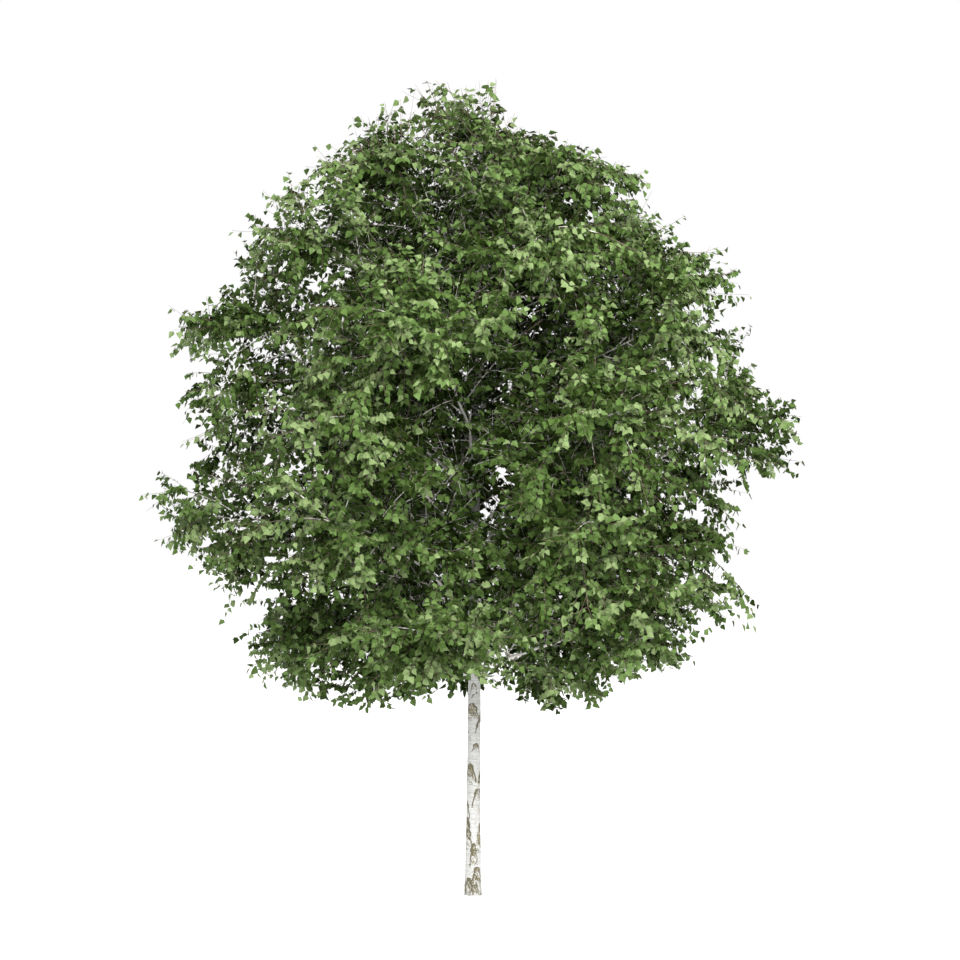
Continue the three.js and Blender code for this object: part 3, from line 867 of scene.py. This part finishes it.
# %% Build the boughs
BOUGH_SIDES = 8
BOUGH_STEPS = 70
COLLAR = 0.45  # how far the collar swells, against the bough's radius
COLLAR_FADE = 0.035
WAVER = {"size": 0.009, "grown_at": 0.3, "waves": (9, 7)}  # metres, and radians for each metre
KNOTS = {"size": (0.07, 0.05), "waves": (38, 90)}  # shares of the radius, and the same
WOOD_AGES = (0.0030, 0.0075)  # radii of the youngest wood and of wood with full white bark


def bough_shape(limb):
    """Vertices of one limb, and how old its wood is from 0 to 1."""
    share = np.linspace(0, 1, BOUGH_STEPS + 1)
    line = limb["line"]
    middle = point_on(line, share)
    _, side, over = frames_on(line, share)
    run = np.concatenate([[0], np.cumsum(np.linalg.norm(np.diff(middle, axis=0), axis=1))])
    chooser = np.random.default_rng(100 + limb["seed"])
    phase = chooser.uniform(0, 2 * np.pi, 4)
    waver = WAVER["size"] * np.clip(run / WAVER["grown_at"], 0, 1)
    for way, waves, start in zip((side, over), WAVER["waves"], phase):
        middle = middle + way * (waver * np.sin(run * waves + start))[:, None]
    if limb["name"] == "leader":
        radius = limb["radius"] + (LIMB["tip_radius"] - limb["radius"]) * share
    else:
        entry = limb["radius"] * LIMB["entry_share"]
        radius = np.interp(share, [0, LIMB["bough_share"], 1], [limb["radius"], entry, LIMB["tip_radius"]])
        surface = float(trunk_radius(line[0][2]))
        radius = radius * (1 + COLLAR * np.exp(-np.clip(run - surface, 0, None) / COLLAR_FADE))
    turn = 2 * np.pi * np.arange(BOUGH_SIDES) / BOUGH_SIDES
    knots = 1 + KNOTS["size"][0] * np.sin(run[:, None] * KNOTS["waves"][0] + 2 * turn + phase[2])
    knots += KNOTS["size"][1] * np.sin(run[:, None] * KNOTS["waves"][1] + phase[3])
    ring = side[:, None] * np.cos(turn)[None, :, None] + over[:, None] * np.sin(turn)[None, :, None]
    vertices = middle[:, None] + ring * (radius[:, None] * knots)[..., None]
    age = np.repeat(np.interp(radius, WOOD_AGES, (0, 1)), BOUGH_SIDES)
    return vertices.reshape(-1, 3), age


bough_parts = [bough_shape(limb) for limb in limbs]
bough_triangles = ring_triangles(len(limbs), BOUGH_STEPS + 1, BOUGH_SIDES)

# %% [markdown]
# ## Bark of the boughs
#
# Young birch wood is red-brown and shiny. After some years the white layers form over it, first as
# a grey film. The material blends the two by the age kept on the vertices, and breaks the border
# with noise. On branches the lenticels ring the wood, so that pattern stays, with smaller marks.

# %% Bark of the boughs and twigs


def bough_bark():
    """Pale bark that turns red-brown where the wood is thin."""
    bark, place = new_material("silver birch bough bark")
    blotches = pattern(bark, place, across=0.030, tall=0.030, detail=3)
    marks = pattern(bark, place, across=0.009, tall=0.006, detail=1)
    age = broken(bark, "age", blotches)
    colour = blended(bark, age, (0.36, 0.62), linear("#8a7466"), linear("#d6d3cc"))
    colour = blended(bark, marks, (0.62, 0.72), colour, linear("#6d6357"))
    inputs = {"Strength": 0.4, "Distance": 0.001, "Height": marks}
    bump = add_node(bark, "ShaderNodeBump", inputs).outputs[0]
    return finished(bark, {"Base Color": colour, "Roughness": 0.6, "Normal": bump, "IOR": 1.48})


def twig_bark():
    """Smooth bark, brown on shoots and the ends of twigs and pale where a twig is older."""
    bark, place = new_material("birch twig bark")
    blotches = pattern(bark, place, across=0.050, tall=0.050, detail=2)
    age = broken(bark, "age", blotches)
    young = blended(bark, blotches, (0.35, 0.65), linear("#4e3f33"), linear("#6f5f50"))
    old = blended(bark, blotches, (0.35, 0.65), linear("#b3aca3"), linear("#dedbd6"))
    colour = blended(bark, age, (0.80, 1.10), young, old)
    grain = pattern(bark, place, across=0.004, tall=0.004, detail=1)
    inputs = {"Strength": 0.3, "Distance": 0.0005, "Height": grain}
    bump = add_node(bark, "ShaderNodeBump", inputs).outputs[0]
    return finished(bark, {"Base Color": colour, "Roughness": 0.55, "Normal": bump})


bough_vertices = np.concatenate([part[0] for part in bough_parts])
bough_piece = mesh_piece("bough_bark", bough_vertices, bough_triangles, [bough_bark()])
vertex_values(bough_piece, "age", np.concatenate([part[1] for part in bough_parts]))
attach(bough_piece, "root")
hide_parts(*[f"bough_{limb['name']}" for limb in limbs[:-1]])

# %% [markdown]
# ## One leaf
#
# A birch leaf is a rounded triangle on a thin stalk: widest a third of the way up, toothed, and
# drawn out to a point. With over a hundred thousand of them, each face counts. Two triangles on
# each side of the midrib are enough for the outline, for a fold along the midrib and for sides that
# hang, and one more makes the stalk. The shape is given for a leaf of length 1 and scaled for each
# leaf.

# %% Outline of a leaf
HALF_OUTLINE = [(0.42, 0.27), (0.27, 0.60)]
STALK_LENGTH = 0.24
STALK_HALF_WIDTH = 0.022
FOLD = 0.20
HANG = 0.20


def leaf_template():
    """Vertices as across, along and over, and triangles of a leaf of length 1."""
    left = [(-across, along) for across, along in reversed(HALF_OUTLINE)]
    outline = [(0.0, 0.0)] + HALF_OUTLINE + [(0.0, 1.0)] + left
    stalk = [(-STALK_HALF_WIDTH, -STALK_LENGTH), (STALK_HALF_WIDTH, -STALK_LENGTH)]
    flat = np.array(outline + stalk)
    over = FOLD * np.abs(flat[:, 0]) - HANG * np.clip(flat[:, 1], 0, None) ** 2
    over[-2:] = 0
    edge_count = len(outline)
    fan = [(0, i, i + 1) for i in range(1, edge_count - 1)]
    fan.append((0, edge_count, edge_count + 1))
    return np.column_stack([flat, over]), np.array(fan)


leaf_shape, leaf_triangles = leaf_template()
print("a leaf has", len(leaf_triangles), "triangles")

# %% [markdown]
# ## Where the leaves stand
#
# Leaves stand on alternate sides of a shoot, point out and hang by their tips. Their upper sides
# turn up and away from the crown's middle, to the light, with much spread. A real silver birch leaf
# is 30 to 70 mm long, and so are these, though they stand closer along each shoot than real ones,
# so that the crown closes with fewer shoots. A crown is nowhere evenly full: here and there a
# pocket has few leaves, and the pale wood and the sky show through. Deep inside, where little
# light comes, a tree drops part of its leaves.

# %% Place the leaves
LEAF = {
    "length": 0.049,
    "size_spread": 0.28,
    "count": 23,
    "first": 0.06,
    "shift": 0.04,
    "along": 0.35,
    "side": 0.70,
    "fall": 0.50,
    "fall_spread": 0.50,
    "face_up": 0.45,
    "face_out": 0.55,
    "face_spread": 0.85,
}
LEADING_LEAF = dict(LEAF, count=8, first=0.30, length=0.054)
TWIG_LEAF = dict(LEAF, count=14, first=0.35)
LEADING_EXTRA = 2 * LEAF["length"]  # how much further a leading shoot's leaves may stand out
WAVES = 8
# Places with few leaves: how far apart, which share they lack, and how deep a wave empties them.
POCKETS = {"size": 0.42, "share": 0.36, "full_at": 0.38, "seed": 33}
GAPS = {"size": 0.190, "share": 0.62, "full_at": 0.22, "seed": 34}
SHADE = {"depth": (0.50, 1.20), "share": (0, 0.28)}  # below the crown's outline
YOUNG_TOP = {"height": (4.800, 5.600), "share": (0, 0.50)}


def depth_in_crown(places):
    """How far places lie inside the crown's outline."""
    turn = np.arctan2(places[:, 1], places[:, 0])
    return crown_reach(places[:, 2], turn) - np.hypot(places[:, 0], places[:, 1])


def emptiness(places, kind):
    """Which share of its leaves each place lacks, from a few smooth waves through the crown."""
    chooser = np.random.default_rng(kind["seed"])
    total = np.zeros(len(places))
    for _ in range(WAVES):
        heading = unit(chooser.normal(size=3))
        total += np.sin(2 * np.pi * places @ heading / kind["size"] + chooser.uniform(0, 2 * np.pi))
    return kind["share"] * np.clip(-total / (kind["full_at"] * WAVES), 0, 1)


def fullness(places):
    """Which share of its leaves each place keeps."""
    shaded = np.interp(depth_in_crown(places), SHADE["depth"], SHADE["share"])
    thin = np.interp(places[:, 2], YOUNG_TOP["height"], YOUNG_TOP["share"])
    return (1 - emptiness(places, POCKETS)) * (1 - emptiness(places, GAPS)) * (1 - shaded) * (1 - thin)


def place_leaves(lines, owner, number, slack, rule, chooser):
    """Leaves along lines: root, across, tipward, face, length, owner and line number of each."""
    count = rule["count"]
    rows = len(lines)
    share = np.linspace(rule["first"], 1.0, count) + chooser.uniform(-rule["shift"], 0.0, (rows, count))
    along, side, _ = frames_on(lines[:, None], share)
    hand = np.where(np.arange(count) % 2, 1.0, -1.0)[None, :, None]
    fall = (rule["fall"] + rule["fall_spread"] * chooser.uniform(-1, 1, (rows, count)))[..., None]
    tipward = unit(along * rule["along"] + side * hand * rule["side"] - UP * fall)
    root = point_on(lines[:, None], share)
    outward = unit(root - CROWN_MIDDLE)
    face = UP * rule["face_up"] + outward * rule["face_out"]
    face = face + rule["face_spread"] * chooser.uniform(-1, 1, (rows, count, 3))
    face = unit(face - tipward * (face * tipward).sum(-1, keepdims=True))
    across = np.cross(tipward, face)
    length = rule["length"] * (1 + rule["size_spread"] * chooser.uniform(-1, 1, (rows, count)))
    root = root + tipward * (STALK_LENGTH * length)[..., None]
    tip = (root + tipward * length[..., None]).reshape(-1, 3)
    leaf_slack = np.repeat(slack, count)
    keep = in_reach(tip, leaf_slack) & in_shape(tip, leaf_slack)
    keep &= chooser.random(len(keep)) < fullness(root.reshape(-1, 3))
    flat = [array.reshape(-1, 3)[keep] for array in (root, across, tipward, face)]
    numbers = [np.repeat(array, count)[keep] for array in (owner, number)]
    return (*flat, length.reshape(-1)[keep], *numbers)


leaf_draw = np.random.default_rng(21)
lines = np.concatenate([shoots, twigs])
line_owner = np.concatenate([shoot_owner, twig_owner])
line_slack = np.concatenate([shoot_slack, spray_slack[: len(twigs)]])
line_slack[shoot_counts[0] : len(shoots)] += LEADING_EXTRA
line_number = np.arange(len(lines))
ends = (0, shoot_counts[0], len(shoots), len(lines))
leaf_sets = []
for start, end, rule in zip(ends[:-1], ends[1:], (LEAF, LEADING_LEAF, TWIG_LEAF)):
    arrays = [array[start:end] for array in (lines, line_owner, line_number, line_slack)]
    leaf_sets.append(place_leaves(*arrays, rule, leaf_draw))
leaves = [np.concatenate(arrays) for arrays in zip(*leaf_sets)]
print(len(leaves[0]), "leaves")

# %% [markdown]
# ## Leaf green
#
# A birch leaf is thin, with a waxy upper side: a dielectric with soft gloss and no metal in it. The
# greens of a crown differ more from shoot to shoot than within one, because each shoot has its own
# age and light. So there are five greens. Most shoots get one of their own and the rest their
# spray's. Leaves near the crown's outline are then made paler and those deep inside darker. That is
# partly the real darker green of shade leaves and partly painted light and painted shade. Within a
# leaf the tissue between the veins is a little paler, which is a pattern of a few millimetres in
# real leaves. Here it is drawn at 20 mm, so that it still shows when the whole tree is in view.

# %% Five leaf greens
LEAF_GREENS = [
    ("#1b2808", "#22300c"),
    ("#293a13", "#32431b"),
    ("#3a4e22", "#44592a"),
    ("#495d30", "#54693a"),
    ("#5f7046", "#6c7c52"),
]


def leaf_green(number, deep, pale):
    """A waxy leaf in one of the greens."""
    green, place = new_material(f"birch leaf {number + 1}")
    tissue = pattern(green, place, across=0.020, tall=0.020, detail=2)
    colour = blended(green, tissue, (0.35, 0.65), linear(deep), linear(pale))
    inputs = {"Value": tissue, "To Min": 0.50, "To Max": 0.70}
    rough = add_node(green, "ShaderNodeMapRange", inputs).outputs[0]
    wax = {"IOR": 1.42, "Specular IOR Level": 0.10}
    return finished(green, {"Base Color": colour, "Roughness": rough, **wax})


greens = [leaf_green(number, deep, pale) for number, (deep, pale) in enumerate(LEAF_GREENS)]

# %% [markdown]
# ## Join the leaves and twigs, one piece for each tier
#
# Thousands of separate objects would choke any scene, so the leaves of a tier are one mesh, and so
# are its twigs. A leaf's green goes by the line that it stands on. The age of the wood, kept on the
# vertices, turns a twig from pale at its foot to brown at its end, and shoots paler deep inside.

# %% Build the pieces of foliage
TWIG_RADII = (0.0048, 0.0018)
TWIG_SIDES = 4
TWIG_STEPS = 5
SHOOT_RADII = (0.0019, 0.0009)
SHOOT_SIDES = 3
SHOOT_STEPS = 2
OLD_SHOOTS = {"depth": (0.15, 1.00), "age": (0.0, 0.5)}  # the deeper in the crown, the older a shoot's wood
GREEN_ODDS = (0.14, 0.26, 0.28, 0.22, 0.10)
OWN_GREEN_SHARE = 0.60  # of the shoots have a green of their own, and the rest their spray's
# Leaves near the crown's outline are made paler and deep ones darker: painted light and painted shade,
# partly also the real darker green of shade leaves.
PAINTED_SUN_AND_SHADE = {"depth": (0.10, 0.90), "steps": (0.75, -0.75)}  # paler by this many greens, or darker
LEAF_STEPS = (-1, 0, 0, 0, 1)  # few leaves differ from their shoot

green_draw = np.random.default_rng(5)
spray_green = green_draw.choice(len(greens), len(bearers), p=GREEN_ODDS)
own_green = green_draw.choice(len(greens), len(shoots), p=GREEN_ODDS)
has_own = green_draw.random(len(shoots)) < OWN_GREEN_SHARE
shoot_green = np.where(has_own, own_green, spray_green[shoot_spray])
line_green = np.concatenate([shoot_green, spray_green[: len(twigs)]])
# Painted light near the crown's outline and painted shade deep inside, shifted by depth in the crown.
line_green = line_green + np.interp(depth_in_crown(lines[:, 2]), PAINTED_SUN_AND_SHADE["depth"], PAINTED_SUN_AND_SHADE["steps"])
leaf_owner, leaf_line = leaves[5], leaves[6]
leaf_green_number = line_green[leaf_line] + green_draw.choice(LEAF_STEPS, len(leaf_line))
leaf_green_number = np.floor(leaf_green_number + green_draw.random(len(leaf_line))).astype(int)
leaf_green_number = np.clip(leaf_green_number, 0, len(greens) - 1)
print("leaves of each green:", np.bincount(leaf_green_number))
young_bark = twig_bark()


def leaf_piece(name, chosen):
    """One mesh of the chosen leaves."""
    root, across, tipward, face, length = [array[chosen] for array in leaves[:5]]
    axes = np.stack([across, tipward, face], axis=1) * length[:, None, None]
    vertices = root[:, None] + np.einsum("vk,nkx->nvx", leaf_shape, axes)
    starts = np.arange(len(root)) * len(leaf_shape)
    triangles = (starts[:, None, None] + leaf_triangles).reshape(-1, 3)
    numbers = np.repeat(leaf_green_number[chosen], len(leaf_triangles))
    return mesh_piece(name, vertices.reshape(-1, 3), triangles, greens, numbers)


def twig_piece(name, wanted):
    """One mesh of the twigs and side shoots of the wanted masses."""
    twig_mesh = tubes(twigs[np.isin(twig_owner, wanted)], *TWIG_RADII, TWIG_SIDES, TWIG_STEPS)
    shoot_mesh = tubes(shoots[np.isin(shoot_owner, wanted)], *SHOOT_RADII, SHOOT_SIDES, SHOOT_STEPS)
    piece = mesh_piece(name, *joined([twig_mesh, shoot_mesh]), [young_bark])
    ring_age = np.repeat(np.linspace(1, 0, TWIG_STEPS + 1), TWIG_SIDES)
    twig_age = np.tile(ring_age, len(twig_mesh[0]) // len(ring_age))
    shoot_age = np.interp(depth_in_crown(shoot_mesh[0]), OLD_SHOOTS["depth"], OLD_SHOOTS["age"])
    vertex_values(piece, "age", np.concatenate([twig_age, shoot_age]))
    return piece


for tier in TIERS:
    wanted = [number for number, limb in enumerate(limbs) if limb["tier"] == tier["name"]]
    nodes = [f"foliage_{limbs[number]['name']}" for number in wanted]
    tier_leaves = leaf_piece(f"leaves_{tier['name']}", np.isin(leaf_owner, wanted))
    tier_twigs = twig_piece(f"twigs_{tier['name']}", wanted)
    for piece, slot in ((tier_leaves, "foliage"), (tier_twigs, "bough_bark")):
        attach(piece, "root")
        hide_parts(*nodes)

# %% [markdown]
# ## Stage, light and camera
#
# A tree in a catalogue stands on plain white ground, with light from all round and a large soft
# lamp that gives the leaves their shape. The white world does the first, and an area lamp high in
# front, a little to the right, the second. A weaker one behind on the left keeps the back from going
# dark. The camera stands far off at half the tree's height and looks level, so that the trunk stays
# upright in the render.

# %% Floor, lamps and camera
FLOOR_SIZE = 160.0
FLOOR_GLOW = 0.17  # a light table's: it keeps the floor as white as the air round the tree
LAMPS = [("key lamp", (2.5, -13.0, 11.0), 5000), ("fill lamp", (-8.0, 12.0, 8.0), 1500)]  # watts
LAMP_SIZE = 9.0
LAMP_TARGET = (0, 0, 3.2)
VIEW_WIDTH = 7.033  # metres across at the trunk
CAMERA_DISTANCE = 20.0
CAMERA_HEIGHT = 3.040
CAMERA_ACROSS = 0.051


def make_floor():
    """A wide white floor that the tree stands on."""
    half = FLOOR_SIZE / 2
    corners = np.array([(-half, -half, 0), (half, -half, 0), (half, half, 0), (-half, half, 0)])
    material, place = new_material("white studio floor")
    spots = pattern(material, place, across=0.9, tall=0.9, detail=2)
    inputs = {0: spots, MIX_A: linear("#fbfbfb"), MIX_B: linear("#ffffff")}
    colour = add_node(material, "ShaderNodeMix", inputs, data_type="RGBA").outputs[MIX_RESULT]
    glow = {"Emission Color": linear("#ffffff"), "Emission Strength": FLOOR_GLOW}
    finished(material, {"Base Color": colour, "Roughness": 0.9, **glow})
    return mesh_piece("floor", corners, np.array([(0, 1, 2), (0, 2, 3)]), [material])


def area_lamp(name, place, watts):
    """A square soft lamp that looks at the tree."""
    lamp = bpy.data.lights.new(name, "AREA")
    lamp.size = LAMP_SIZE
    lamp.energy = watts
    holder = bpy.data.objects.new(name, lamp)
    holder.location = place
    way = Vector(LAMP_TARGET) - Vector(place)
    holder.rotation_euler = way.to_track_quat("-Z", "Y").to_euler()
    bpy.context.scene.collection.objects.link(holder)


make_floor()
for name, place, watts in LAMPS:
    area_lamp(name, place, watts)

world = bpy.data.worlds.new("white studio")
world.use_nodes = True
world.node_tree.nodes["Background"].inputs["Color"].default_value = (1, 1, 1, 1)
world.node_tree.nodes["Background"].inputs["Strength"].default_value = 1.0
bpy.context.scene.world = world
bpy.context.scene.view_settings.view_transform = "Standard"

camera = bpy.data.cameras.new("camera")
camera.sensor_fit = "HORIZONTAL"
camera.angle = 2 * math.atan(VIEW_WIDTH / 2 / CAMERA_DISTANCE)
camera.clip_end = 300
camera_holder = bpy.data.objects.new("camera", camera)
camera_holder.location = (CAMERA_ACROSS, -CAMERA_DISTANCE, CAMERA_HEIGHT)
camera_holder.rotation_euler = (math.pi / 2, 0, 0)
bpy.context.scene.collection.objects.link(camera_holder)
bpy.context.scene.camera = camera_holder
